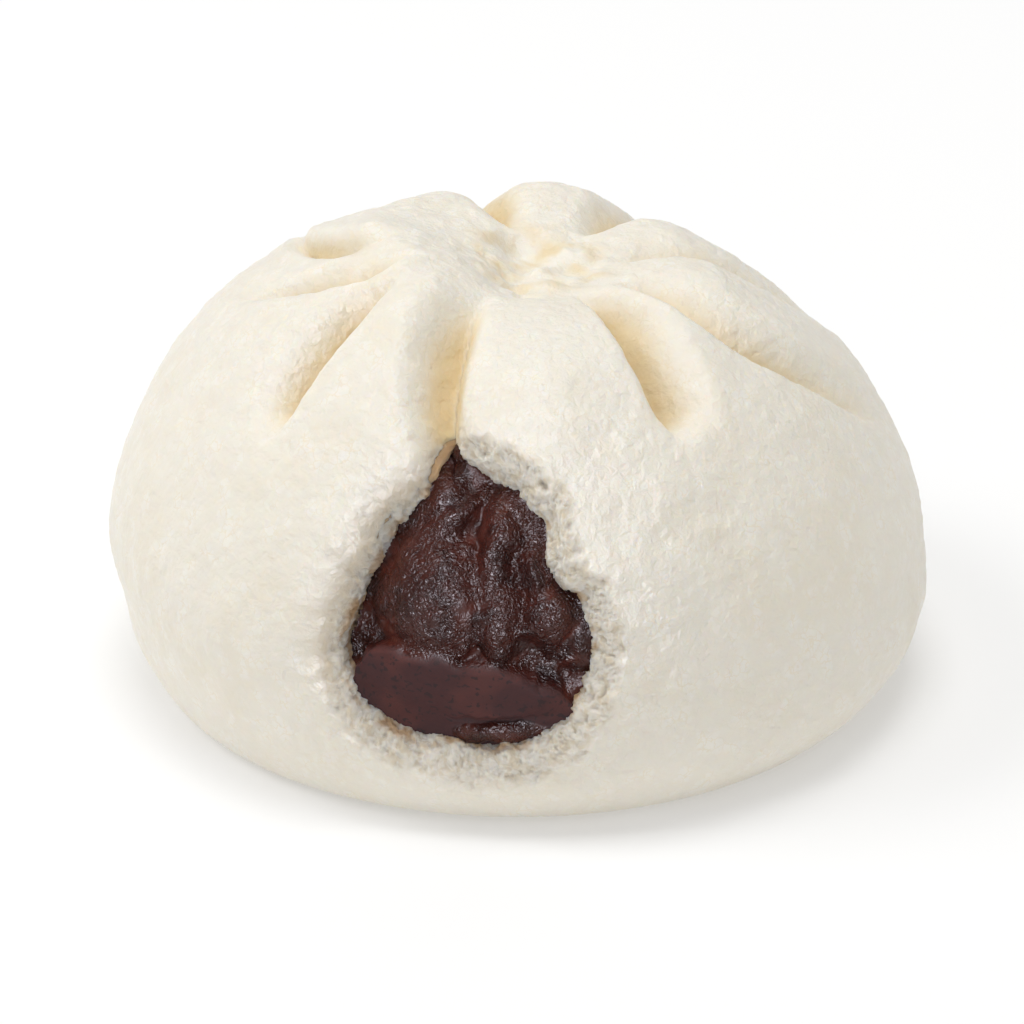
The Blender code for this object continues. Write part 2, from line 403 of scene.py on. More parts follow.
# The stage, in metres and watts.
FLOOR_SIDE = 6
FLOOR_EMISSION = 0.29
FLOOR_ROUGHNESS = 0.7
CAMERA_AIM = Vector((-0.00045, 0, 0.017))
CAMERA_DISTANCE = 0.42
CAMERA_TILT = radians(25)
CAMERA_LENS = 132.3
SENSOR_WIDTH = 36
CLIP_START = 0.01
WORLD_ON_MATT = 0.50
WORLD_IN_GLOSS = 0.08


class Lamp(NamedTuple):
    """A square lamp, and whether it lights matt surfaces and shows in gloss."""

    name: str
    place: tuple
    size: float
    energy: float
    lights_matt: bool
    lights_gloss: bool
    colour: tuple


LAMPS = (
    Lamp("key", (0, 0, 1.6), 0.8, 10.9, True, True, (1, 1, 1)),
    Lamp("side", (-1.1, 0, 1.15), 0.8, 7.4, True, False, (1, 1, 1)),
    Lamp("low sheen", (-0.1, -1.5, 0.45), 0.7, 44.0, False, True, SHEEN_TINT),
    Lamp("high sheen", (0.05, -1.0, 1.25), 0.5, 30.0, False, True, SHEEN_TINT),
)
LAMP_AIM = Vector((0, 0, 0.02))


def smooth_step(low, high, value):
    """0 below low, 1 above high, and a smooth rise between them."""
    share = np.clip((value - low) / (high - low), 0, 1)
    return share * share * (3 - 2 * share)


def smooth_smaller(a, b, blend):
    """The smaller of two lengths, rounded where they are less than blend apart."""
    share = np.clip(0.5 + 0.5 * (b - a) / blend, 0, 1)
    return b * (1 - share) + a * share - blend * share * (1 - share)


def unit(vectors):
    """The vectors at length 1."""
    return vectors / np.maximum(np.linalg.norm(vectors, axis=-1, keepdims=True), LEAST_LENGTH)


def ripple(points, grain):
    """Smooth noise from about -1 to 1, with lumps of a grain's size."""
    places = points.reshape(-1, 3) / grain.size + SEED_SPACING * grain.seed
    values = [noise.fractal(place, OCTAVE_FALL, OCTAVE_STEP, grain.octaves) for place in places.tolist()]
    return np.array(values).reshape(points.shape[:-1])


def grain_height(points, grain):
    """The height of a grain at each point."""
    return grain.height * ripple(points, grain)


def grain_pushes(points, grains):
    """The heights of some grains at each point, one after another as the parts of a push."""
    return np.stack([grain_height(points, grain) for grain in grains], axis=-1)


def to_nearest_cell(points, size, seed):
    """How far points are from the nearest middle of a set of scattered cells of a size."""
    places = points.reshape(-1, 3) / size + CELL_SEED_SPACING * seed
    values = [noise.voronoi(place)[0][0] for place in places.tolist()]
    return np.array(values).reshape(points.shape[:-1]) * size


# ---- the body's form, as in the solids ----


def body_radius(directions):
    """The distance from the heart to the body without pleats, along each direction."""
    across = np.hypot(directions[..., 0], directions[..., 1])
    above = directions[..., 2] > 0
    height = np.where(above, DOME_HEIGHT, BOWL_DEPTH)
    power = np.where(above, DOME_POWER, BOWL_POWER)
    level = (across / GIRTH_RADIUS) ** power + (np.abs(directions[..., 2]) / height) ** power
    to_floor = GIRTH_HEIGHT / np.maximum(-directions[..., 2], LEAST_FALL_TO_FLOOR)
    return smooth_smaller(level ** (-1 / power), to_floor, FOOT_ROUNDING)


def body_points(directions):
    """The body without pleats. Its top leans to one side, and the part below its girth to the other."""
    points = directions * body_radius(directions)[..., None]
    lift = np.clip(points[..., 2] / DOME_HEIGHT, 0, 1)
    drop = np.clip(-points[..., 2] / GIRTH_HEIGHT, 0, 1)
    points[..., 0] += LEAN * lift**2 + BELLY_LEAN * np.sin(pi * drop)
    return points + HEART


def body_outward(points):
    """The way in which pleats and dents are measured: square to an ellipsoid like the body."""
    radii = np.array((GIRTH_RADIUS, GIRTH_RADIUS, DOME_HEIGHT))
    return unit((points - HEART) / radii**2)


def around_knot(points):
    """Distance and azimuth of points from the knot, seen from above."""
    from_knot = points[..., :2] - KNOT
    distance = np.maximum(np.hypot(from_knot[..., 0], from_knot[..., 1]), LEAST_FROM_KNOT)
    return distance, np.degrees(np.arctan2(from_knot[..., 1], from_knot[..., 0]))


def crease_across(pleat, off_crease, distance):
    """Across a crease: its depth from 0 to 1, and the share of the way from its line to its edge."""
    steep_side = off_crease * pleat.lap >= 0
    reach = np.where(steep_side, pleat.steep, pleat.gentle) * np.clip(distance / PLEAT_FULL_WIDTH, 0, 1)
    share = np.radians(np.abs(off_crease)) * distance / reach
    share = np.clip(np.hypot(share, CREASE_ROUNDING) - CREASE_ROUNDING * (1 - share), 0, 1)
    steep = 1 - np.sqrt(1 - (1 - share) ** 2)
    gentle = (1 - share) ** GENTLE_POWER
    return np.where(steep_side, steep, gentle), share


def crease_along(pleat, distance):
    """Along a crease, its depth from 0 at its ends to 1."""
    along = smooth_step(pleat.start, pleat.full, distance)
    return along * (1 - smooth_step(pleat.end - pleat.fade, pleat.end, distance))


def pleat_form(points):
    """How far the pleats draw the surface in, and the share of painted crease shade at each point, from 0 to
    1, by how deep in a crease it is.
    """
    distance, azimuth = around_knot(points)
    turned = np.clip((distance - SWIRL_START) / SWIRL_LENGTH, 0, MOST_SWIRL**0.5) ** 2
    swelling = smooth_step(SWELL_FROM, SWELL_FULLY, distance)
    swelling = swelling * (1 - smooth_step(SWELL_FADES, SWELL_GONE, distance))
    drawn_in = np.zeros(distance.shape)
    creased = np.zeros(distance.shape)
    for pleat, after in zip(PLEATS, PLEATS[1:] + PLEATS[:1]):
        off_crease = (azimuth - pleat.azimuth - pleat.swirl * turned + 180) % 360 - 180
        across, share = crease_across(pleat, off_crease, distance)
        along = crease_along(pleat, distance)
        drawn_in += pleat.depth * across * along
        # The share of painted crease shade, strongest on a crease's line.
        creased = np.maximum(creased, (1 - share) ** 2 * along * pleat.depth / DEEP_CREASE)
        lobe = (after.azimuth - pleat.azimuth) % 360 + (after.swirl - pleat.swirl) * turned
        lobe = np.maximum(lobe, NARROWEST_LOBE)
        across_lobe = np.sin(pi * np.clip(off_crease / lobe, 0, 1)) ** 2
        drawn_in -= pleat.swell * across_lobe * swelling
    return drawn_in, creased


def crater_depth(points):
    """How far the gathered top is sunk round the knot, and in a dip in front of it."""
    distance, _ = around_knot(points)
    crater = CRATER_DEPTH * np.clip(1 - (distance / CRATER_RADIUS) ** 2, 0, 1) ** 2
    from_dip = np.linalg.norm(points[..., :2] - DIP, axis=-1)
    return crater + DIP_DEPTH * np.clip(1 - (from_dip / DIP_RADIUS) ** 2, 0, 1) ** 2


def skin(directions):
    """Points on the skin, and the share of painted crease shade at each, by how deep in a crease it is."""
    points = body_points(directions)
    drawn_in, creased = pleat_form(points)
    pleated = smooth_step(PLEATED_FROM, PLEATED_FULLY, points[..., 2])
    drawn_in = pleated * (drawn_in + crater_depth(points))
    return points - body_outward(points) * drawn_in[..., None], creased * pleated


def paste_reach(directions):
    """The distance from the heart to the plain lump of paste, along each direction."""
    near = np.zeros(directions.shape[:-1])
    far = np.full(directions.shape[:-1], 2 * GIRTH_RADIUS)
    offset = HEART - PASTE_CENTRE
    for _ in range(HALVINGS):
        half = (near + far) / 2
        place = (offset + directions * half[..., None]) / PASTE_RADII
        inside = (np.abs(place) ** PASTE_POWER).sum(axis=-1) < 1
        near = np.where(inside, half, near)
        far = np.where(inside, far, half)
    points, _ = skin(directions)
    to_skin = np.linalg.norm(points - HEART, axis=-1)
    return smooth_smaller(near, to_skin - PASTE_RECESS, PASTE_BLEND)


# ---- rings round the tear ----


def tear_axes():
    """The rings' axis, and the two ways across it: to the right and up, seen from the front."""
    axis = unit(TEAR_MIDDLE - HEART)
    right = unit(np.cross((0, 0, 1), axis))
    return axis, right, np.cross(axis, right)


def ring_directions(turn, opening):
    """Directions from the heart, at turns round the axis and at opening angles from it."""
    axis, right, up = tear_axes()
    turn = np.broadcast_to(turn, opening.shape)
    across = np.cos(turn)[..., None] * right + np.sin(turn)[..., None] * up
    return np.cos(opening)[..., None] * axis + np.sin(opening)[..., None] * across


def turn_and_opening(directions):
    """The turn round the axis and the opening angle of each direction."""
    axis, right, up = tear_axes()
    turn = np.arctan2(directions @ up, directions @ right)
    return turn, np.arccos(np.clip(unit(directions) @ axis, -1, 1))


def front_place(x, z, depth=0.0):
    """The place on the front of the body, or at a depth under it, at an x and a z."""
    rise = z - GIRTH_HEIGHT
    height, power = (DOME_HEIGHT, DOME_POWER) if rise > 0 else (BOWL_DEPTH, BOWL_POWER)
    share = min(abs(rise) / (height - depth), MOST_OF_HEIGHT)
    radius = (GIRTH_RADIUS - depth) * (1 - share**power) ** (1 / power)
    top_lean = LEAN * max(rise / DOME_HEIGHT, 0) ** 2
    belly_lean = BELLY_LEAN * sin(pi * max(-rise / GIRTH_HEIGHT, 0))
    off_middle = x - top_lean - belly_lean
    return np.array((x, -((radius**2 - off_middle**2) ** 0.5), z))


def rolling_mean(values, width):
    """Smooths values that run in a circle."""
    window = np.hanning(width + 2)[1:-1]
    window /= window.sum()
    half = width // 2
    return np.convolve(np.concatenate((values[-half:], values, values[:half])), window, "valid")


def rim_openings(turn):
    """The opening angle of the tear's edge at each turn."""
    places = np.array([front_place(x, z, EDGE_DEPTH) for x, z in TEAR_EDGE])
    turns, openings = turn_and_opening(places - HEART)
    opening = np.interp(turn, turns[np.argsort(turns)], openings[np.argsort(turns)], period=2 * pi)
    return rolling_mean(opening, RIM_SMOOTHING)


def lip_values(turn, field):
    """A field of LIPS at each turn, smoothed from one to the next."""
    angles = [radians(lip.angle) for lip in LIPS]
    values = np.interp(turn, angles, [getattr(lip, field) for lip in LIPS], period=2 * pi)
    return rolling_mean(values, LIP_SMOOTHING)


def skin_distances(end):
    """Distances along the skin from the lip to the far pole, in steps that grow."""
    distances = [0.0]
    for length, step in SKIN_STRETCHES:
        count = round(length / step)
        distances += list(distances[-1] + step * np.arange(1, count + 1))
    count = round((end - distances[-1]) / LAST_SKIN_STEP)
    return np.concatenate((distances[1:], np.linspace(distances[-1], end, count + 1)[1:]))


class Rings:
    """The points of a closed mesh, ring by ring from one pole to the other."""

    def __init__(self):
        self.points = []
        self.fields = {}

    def add(self, points, **fields):
        """Adds rings, with the same named values for each set."""
        self.points.append(points)
        for name, values in fields.items():
            self.fields.setdefault(name, []).append(np.broadcast_to(values, points.shape[:-1]))

    def joined(self):
        """All rings as one array, and each named value as another."""
        fields = {name: np.concatenate(values) for name, values in self.fields.items()}
        return np.concatenate(self.points), fields


def ring_normals(points):
    """Normals of a grid of rings that are closed round and end at poles."""
    along = np.gradient(points, axis=0)
    round_about = np.roll(points, -1, axis=1) - np.roll(points, 1, axis=1)
    return unit(np.cross(along, round_about))


def ring_faces(rings, segments):
    """Four-cornered faces between rings, and three-cornered ones from the end rings to the two poles."""
    here = np.arange(segments)
    after = np.roll(here, -1)
    faces = []
    for ring in range(rings - 1):
        low = ring * segments
        high = low + segments
        faces += np.column_stack((low + here, high + here, high + after, low + after)).tolist()
    first_pole = np.full(segments, rings * segments)
    outermost = (rings - 1) * segments
    faces += np.column_stack((first_pole, here, after)).tolist()
    faces += np.column_stack((first_pole + 1, outermost + after, outermost + here)).tolist()
    return faces


def ring_mesh(name, points, fields):
    """Makes a closed mesh from rings of points, whose first and last rings are each a single pole."""
    inner = points[1:-1].reshape(-1, 3)
    vertices = np.concatenate((inner, points[:1].mean(axis=1), points[-1:].mean(axis=1)))
    mesh = bpy.data.meshes.new(name)
    mesh.from_pydata((vertices * METRES).tolist(), [], ring_faces(len(points) - 2, points.shape[1]))
    for field, values in fields.items():
        ends = (values[0].mean(), values[-1].mean())
        attribute = mesh.attributes.new(field, "FLOAT", "POINT")
        attribute.data.foreach_set("value", np.append(values[1:-1].ravel(), ends).astype(np.float32))
    mesh.shade_smooth()
    part = bpy.data.objects.new(name, mesh)
    bpy.context.scene.collection.objects.link(part)
    return part


# ---- the dough ----


def all_turns():
    """The turns at which each ring has its points."""
    return np.linspace(0, 2 * pi, SEGMENTS, endpoint=False)


def add_pocket(rings, turn, rim):
    """The pocket round the paste, from the far pole to the tear."""
    back = np.linspace(0, 1, POCKET_RINGS)[:, None] ** POCKET_CLOSING
    directions = ring_directions(turn, pi + (rim + POCKET_LIP - pi) * back)
    reach = paste_reach(directions) + POCKET_GAP
    rings.add(HEART + directions * reach[..., None], from_rim=POCKET_FROM_RIM, lip=1.0, creased=0.0)


def add_buried_edge(rings, turn, rim, depth):
    """The part of the torn edge that goes on down behind the paste."""
    deep = np.linspace(BURIED_DEPTH, 0, BURIED_STEPS, endpoint=False)[:, None]
    points, _ = skin(ring_directions(turn, np.broadcast_to(rim, (BURIED_STEPS, SEGMENTS))))
    points = points - body_outward(points) * (depth + deep)[..., None]
    rings.add(points, from_rim=-deep, lip=1.0, creased=0.0)


def add_lip(rings, turn, rim, width, depth):
    """The torn lip, rounded from the rim up to the skin."""
    roundness = lip_values(turn, "roundness")
    quarter = np.linspace(pi / 2, 0, RIM_STEPS)[:, None]
    across = width * (1 - np.sin(quarter) ** (2 / roundness))
    down = depth * (1 - np.cos(quarter) ** (2 / roundness))
    points, creased = skin(ring_directions(turn, rim + across / SKIN_SCALE))
    points = points - body_outward(points) * down[..., None]
    rings.add(points, from_rim=across, lip=down / depth, creased=creased)


def add_skin(rings, turn, rim, width):
    """The skin, from the lip round to the far pole."""
    end = (pi - rim.mean()) * SKIN_SCALE
    out = skin_distances(end)[:, None]
    share = out / end
    closing = (rim + width / SKIN_SCALE) * (1 - share) + pi * share
    even = rim + (width + out) / SKIN_SCALE
    far = smooth_step(*SKIN_CLOSES, share)
    opening = even * (1 - far) + closing * far
    opening[-1] = pi
    points, creased = skin(ring_directions(turn, opening))
    rings.add(points, from_rim=width + out, lip=0.0, creased=creased)


def dough_rings():
    """The dough's plain surface: the pocket round the paste, the torn lip, and the skin to the back."""
    turn = all_turns()
    rim = rim_openings(turn)
    edge = HEART + ring_directions(turn, rim) * GIRTH_RADIUS
    rim = rim - grain_height(edge, EDGE_TEETH) / SKIN_SCALE
    width = lip_values(turn, "width")
    depth = lip_values(turn, "depth")
    rings = Rings()
    add_pocket(rings, turn, rim)
    add_buried_edge(rings, turn, rim, depth)
    add_lip(rings, turn, rim, width, depth)
    add_skin(rings, turn, rim, width)
    return rings.joined()


def spot_heights(points, spots, place):
    """The height that spots add to a surface. place gives where a spot's middle lies."""
    height = np.zeros(points.shape[:-1])
    for spot in spots:
        away = np.linalg.norm(points - place(spot), axis=-1) / spot.radius
        height += spot.height * np.clip(1 - away**2, 0, 1) ** 2
    return height


def top_place(spot):
    """Where a spot given by x and y lies on the gathered top."""
    directions = unit(np.array((spot.x - LEAN, spot.y, DOME_HEIGHT)))
    for _ in range(TOP_TRIES):
        point, _ = skin(directions)
        directions = unit(directions + np.array((spot.x - point[0], spot.y - point[1], 0)) / DOME_HEIGHT)
    return skin(directions)[0]


def tear_place(spot):
    """Where a spot given by x and z lies on the front."""
    return front_place(spot.x, spot.y)


def crumb_relief(points):
    """Torn crumb: soft lumps with fibres on them, and a few pores."""
    fibres = CRUMB_FIBRES.height * (FIBRE_CREST - FIBRE_DROP * np.abs(ripple(points, CRUMB_FIBRES)))
    from_pore = to_nearest_cell(points, PORE_SPACING, PORE_SEED) / PORE_RADIUS
    pores = PORE_DEPTH * np.clip(1 - from_pore**2, 0, 1)
    pores *= smooth_step(*POROUS_LEVELS, grain_height(points, POROUS_PATCHES))
    return grain_height(points, CRUMB_LUMPS) + fibres - pores


def skin_relief(points):
    """Steamed skin: slow swells, soft lumps, and patches of fine crinkles."""
    patches = smooth_step(*CRINKLED_LEVELS, grain_height(points, CRINKLED_PATCHES))
    crinkles = patches * grain_height(points, SKIN_CRINKLES)
    return grain_height(points, SKIN_SWELLS) + grain_height(points, SKIN_LUMPS) + crinkles


def make_dough():
    """The dough, pleated outside and torn open at the front."""
    points, fields = dough_rings()
    normals = ring_normals(points)
    edge = lip_values(all_turns(), "crumb") + grain_height(points, RAGGED_EDGE)
    crumb = 1 - smooth_step(*CRUMB_FADES, fields["from_rim"] - edge)
    above_foot = smooth_step(*FOOT_ROUGHENS, points[..., 2])
    height = crumb * crumb_relief(points) + (1 - crumb) * skin_relief(points) * above_foot
    distance, _ = around_knot(points)
    at_knot = np.clip(1 - (distance / KNOT_RADIUS) ** 2, 0, 1) * (points[..., 2] > GIRTH_HEIGHT)
    # The puckers round the knot get painted crease shade too.
    puckered = np.clip(0.5 + ripple(points, KNOT_PUCKERS), 0, 1)
    fields["creased"] = fields["creased"] + KNOT_CREASE_SHADE * at_knot * puckered
    height += at_knot * grain_height(points, KNOT_CRINKLES)
    height += spot_heights(points, KNOT_SPOTS, top_place)
    height += spot_heights(points, TEAR_SPOTS, tear_place)
    height *= smooth_step(*RELIEF_BEGINS, fields["from_rim"])
    fields["crumb"] = crumb
    return ring_mesh("dough_skin", points + normals * height[..., None], fields)


# ---- the paste ----


def lump_height(places, lump):
    """The height of a lump at places given as (x, z). It falls below 0 outside the lump."""
    x = places[..., 0] - lump.x
    z = places[..., 1] - lump.z
    lean = radians(lump.lean)
    across = (x * cos(lean) + z * sin(lean)) / lump.half_width
    upward = (z * cos(lean) - x * sin(lean)) / lump.half_height
    return lump.height - max(lump.height, LEAST_LUMP_FALL) * (across**2 + upward**2)


def paste_lumps(points):
    """The height of the paste's lumps, and how far each point is on the cut facet below them."""
    places = points[..., (0, 2)] + grain_pushes(points, LUMP_WARPS)
    levels = np.full(places.shape[:-1], np.exp(VALLEY_FLOOR / LUMP_ROUNDING))
    for lump in PASTE_LUMPS:
        levels += np.exp(lump_height(places, lump) / LUMP_ROUNDING)
    height = LUMP_ROUNDING * np.log(levels)
    line = np.array(FACET_LINE)
    below = np.interp(places[..., 0], line[:, 0], line[:, 1]) - places[..., 1]
    facet = smooth_step(*FACET_EDGE, below)
    plane = FACET_LEVEL - FACET_SLOPE * np.clip(below, 0, None)
    height = height * (1 - facet) + plane * facet
    for lump in FACET_LUMPS:
        rise = lump_height(places, lump)
        height = -smooth_smaller(-height, -rise, FACET_LUMP_BLEND)
        facet = facet * (1 - FACET_LUMP_ROUGH * smooth_step(*FACET_LUMP_EDGE, rise))
    for lump in FACET_DENTS:
        height = height - np.clip(lump_height(places, lump), 0, None)
    return height, facet


def paste_film(points, lumps, facet):
    """How thick the film is at each point, from 0 to 1, and the height of the lumps with its wrinkles."""
    warped = points + grain_pushes(points, FILM_WARPS)
    pillows = smooth_step(*PILLOW_LEVELS, np.abs(ripple(warped, FILM_PILLOWS)))
    high = smooth_step(*HIGH_LEVELS, lumps)
    patchy = smooth_step(*FILM_LEVELS, grain_height(points, FILM_PATCHES) + FILM_ON_LUMPS * high)
    filmy = (1 - facet) * (THIN_FILM + (1 - THIN_FILM) * patchy)
    folds = grain_height(points, PASTE_FOLDS) * (1 - FOLDS_LOST_ON_FACET * facet)
    wrinkles = filmy * (grain_height(warped, FILM_CREASES) + FILM_PILLOWS.height * pillows)
    return filmy, lumps + folds + wrinkles


def add_paste_front(rings, turn, rim):
    """The paste's front, which follows the skin and runs in under the lip."""
    opening = rim * np.linspace(0, PASTE_FRONT, PASTE_FRONT_RINGS)[:, None]
    directions = ring_directions(turn, opening)
    body = body_points(directions)
    outward = body_outward(body)
    drawn_in = ((body - skin(directions)[0]) * outward).sum(axis=-1)
    sunk = lip_values(turn, "depth") + PASTE_BELOW_LIP - PASTE_DEPTH
    to_rim = smooth_step(*SINKS_TO_RIM, opening / rim)
    depth = PASTE_DEPTH + (sunk + PASTE_DRAWN_IN * np.clip(drawn_in, 0, None)) * to_rim
    front = body - outward * depth[..., None]
    lump = HEART + directions * paste_reach(directions)[..., None]
    hidden = smooth_step(PASTE_HIDDEN_FROM, PASTE_FRONT, opening / rim)[..., None]
    low_at_rim = 1 - MOST_FLATTENING * smooth_step(*FLAT_AT_RIM, opening / rim)
    rings.add(front * (1 - hidden) + lump * hidden, shown=(1 - hidden[..., 0]) * low_at_rim)


def add_paste_back(rings, turn, rim):
    """The rest of the paste, inside the dough."""
    back = np.linspace(0, 1, PASTE_BACK_RINGS + 1)[1:, None]
    directions = ring_directions(turn, rim * PASTE_FRONT + (pi - rim * PASTE_FRONT) * back)
    rings.add(HEART + directions * paste_reach(directions)[..., None], shown=0.0)


def make_paste():
    """The bean paste: lumpy and filmy where it shows, plain where it is hidden."""
    turn = all_turns()
    rim = rim_openings(turn)
    rings = Rings()
    add_paste_front(rings, turn, rim)
    add_paste_back(rings, turn, rim)
    points, fields = rings.joined()
    shown = fields.pop("shown")
    normals = ring_normals(points)
    lumps, facet = paste_lumps(points)
    filmy, height = paste_film(points, lumps, facet)
    fields["facet"] = facet
    fields["filmy"] = filmy
    points = points + normals * (height * shown)[..., None]
    return ring_mesh("paste_lump", points, fields)


# ---- materials ----


# The places of a mix node's colour sockets, which share their names with its other sockets.
FIRST_COLOUR = 6
SECOND_COLOUR = 7
MIXED_COLOUR = 2


class Shading:
    """A material's nodes, with short calls for the kinds used here."""

    def __init__(self, name):
        self.material = bpy.data.materials.new(name)
        self.material.use_nodes = True
        self.tree = self.material.node_tree
        self.shader = self.tree.nodes["Principled BSDF"]
        self.places = self.tree.nodes.new("ShaderNodeTexCoord").outputs["Object"]

    def put(self, value, socket):
        """Links an output to a socket, or sets a plain value there."""
        if isinstance(value, bpy.types.NodeSocket):
            self.tree.links.new(value, socket)
        elif isinstance(value, tuple):
            socket.default_value = (*value, 1)
        else:
            socket.default_value = value

    def field(self, name):
        """A value that the mesh holds at its vertices."""
        node = self.tree.nodes.new("ShaderNodeAttribute")
        node.attribute_name = name
        return node.outputs["Fac"]

    def noise(self, size, detail=2.0, distortion=0.0):
        """Noise with lumps of a size in millimetres."""
        node = self.tree.nodes.new("ShaderNodeTexNoise")
        node.inputs["Scale"].default_value = 1 / (size * METRES)
        node.inputs["Detail"].default_value = detail
        node.inputs["Distortion"].default_value = distortion
        self.tree.links.new(self.places, node.inputs["Vector"])
        return node.outputs["Fac"]

    def warped(self, size, amount):
        """The places, pushed about by noise of a size, all in millimetres."""
        node = self.tree.nodes.new("ShaderNodeTexNoise")
        node.inputs["Scale"].default_value = 1 / (size * METRES)
        self.tree.links.new(self.places, node.inputs["Vector"])
        push = self.tree.nodes.new("ShaderNodeVectorMath")
        push.operation = "MULTIPLY_ADD"
        self.tree.links.new(node.outputs["Color"], push.inputs[0])
        push.inputs[1].default_value = (amount * METRES,) * 3
        self.tree.links.new(self.places, push.inputs[2])
        return push.outputs[0]

    def to_cell_edges(self, size, places):
        """How far places are from the edges of a pattern of cells of a size in millimetres."""
        node = self.tree.nodes.new("ShaderNodeTexVoronoi")
        node.feature = "DISTANCE_TO_EDGE"
        node.inputs["Scale"].default_value = 1 / (size * METRES)
        self.tree.links.new(places, node.inputs["Vector"])
        return node.outputs["Distance"]

    def spread(self, value, low, high, to_low=0.0, to_high=1.0):
        """Maps a value smoothly from one range to another, and stops at its ends."""
        node = self.tree.nodes.new("ShaderNodeMapRange")
        node.interpolation_type = "SMOOTHSTEP"
        ends = {"From Min": low, "From Max": high, "To Min": to_low, "To Max": to_high}
        for socket, number in ends.items():
            node.inputs[socket].default_value = number
        self.put(value, node.inputs["Value"])
        return node.outputs["Result"]

    def maths(self, operation, first, second=0.0):
        """Arithmetic on one or two values."""
        node = self.tree.nodes.new("ShaderNodeMath")
        node.operation = operation
        self.put(first, node.inputs[0])
        self.put(second, node.inputs[1])
        return node.outputs["Value"]

    def blend(self, share, first, second):
        """A colour between two others."""
        node = self.tree.nodes.new("ShaderNodeMix")
        node.data_type = "RGBA"
        self.put(share, node.inputs["Factor"])
        self.put(first, node.inputs[FIRST_COLOUR])
        self.put(second, node.inputs[SECOND_COLOUR])
        return node.outputs[MIXED_COLOUR]

    def bump(self, height, distance, under=None):
        """Relief from a height, in millimetres at full height, over an earlier bump."""
        node = self.tree.nodes.new("ShaderNodeBump")
        node.inputs["Distance"].default_value = distance * METRES
        self.put(height, node.inputs["Height"])
        if under:
            self.tree.links.new(under, node.inputs["Normal"])
        return node.outputs["Normal"]

    def scatter(self, weight, radius, scale):
        """Lets light in under the surface: how much, how far for each colour, and a scale in millimetres."""
        self.shader.inputs["Subsurface Weight"].default_value = weight
        self.shader.inputs["Subsurface Radius"].default_value = radius
        self.shader.inputs["Subsurface Scale"].default_value = scale * METRES


def skin_colour(look):
    """Cream skin of uneven warmth and pale flakes, with painted yellow shade in the creases, fine veins in
    the same yellow, and painted beige shade on the lip.
    """
    warm = look.spread(look.noise(size=9.0, detail=3.0), 0.42, 0.68, to_high=0.5)
    colour = look.blend(warm, SKIN_CREAM, SKIN_WARM)
    flaky = look.spread(look.noise(size=2.6, detail=4.0, distortion=0.4), 0.46, 0.66)
    colour = look.blend(look.maths("MULTIPLY", flaky, 0.6), colour, SKIN_FLAKE)
    # Painted shade: yellow in the creases and round the knot, where shade falls.
    creased = look.spread(look.field("creased"), 0.03, 0.75)
    colour = look.blend(creased, colour, CREASE_SHADE_AND_VEIN_YELLOW)
    to_vein = look.to_cell_edges(size=1.1, places=look.warped(size=0.8, amount=1.2))
    veins = look.spread(to_vein, 0.0, 0.10, to_low=0.35, to_high=0.0)
    colour = look.blend(look.maths("MULTIPLY", veins, flaky), colour, CREASE_SHADE_AND_VEIN_YELLOW)
    # Painted shade: beige where the lip rolls in, away from the light.
    lip_shade = look.spread(look.field("lip"), 0.0, 0.6, to_high=0.85)
    return look.blend(lip_shade, colour, LIP_SHADE_BEIGE)


def crumb_colour(look):
    """White crumb, with painted shade in its hollows. The paste has stained it at the rim, and behind the
    rim the amber is painted shade for the gap under the lip, over crumb steeped in paste.
    """
    # Painted shade in the crumb's hollows, placed by noise.
    hollow_shade = look.noise(size=1.1, detail=3.0, distortion=0.6)
    hollow_shade = look.spread(hollow_shade, 0.38, 0.56, to_low=0.55, to_high=0.0)
    colour = look.blend(hollow_shade, CRUMB_WHITE, CRUMB_HOLLOW_SHADE)
    from_rim = look.field("from_rim")
    at_rim = look.spread(from_rim, 0.0, 0.6, to_low=0.9, to_high=0.0)
    stained = look.maths("MULTIPLY", at_rim, look.spread(look.noise(size=2.4), 0.48, 0.62))
    # Painted shade in the gap between the lip and the paste, in the amber of the stain.
    gap_shade = look.spread(from_rim, -0.8, -0.1, to_low=0.9, to_high=0.0)
    return look.blend(look.maths("MAXIMUM", stained, gap_shade), colour, STAIN_AND_GAP_SHADE_AMBER)


def dough_material():
    """Steamed dough: satin cream skin with painted yellow shade in its creases, and whiter, duller crumb
    where it is torn.
    """
    look = Shading("steamed_dough")
    crumb = look.field("crumb")
    look.put(look.blend(crumb, skin_colour(look), crumb_colour(look)), look.shader.inputs["Base Color"])
    satin = look.spread(look.noise(size=1.6, detail=3.0), 0.35, 0.65, to_low=0.36, to_high=0.56)
    dull = look.spread(crumb, 0.0, 0.3, to_high=0.9)
    look.put(look.maths("MAXIMUM", satin, dull), look.shader.inputs["Roughness"])
    crinkled = look.bump(look.noise(size=1.1, detail=4.0, distortion=0.3), distance=0.32)
    grainy = look.bump(look.noise(size=0.35, detail=3.0, distortion=0.5), distance=0.05, under=crinkled)
    look.put(grainy, look.shader.inputs["Normal"])
    look.shader.inputs["Specular IOR Level"].default_value = 0.35
    look.scatter(weight=0.6, radius=(1.0, 0.8, 0.55), scale=0.9)
    return look.material


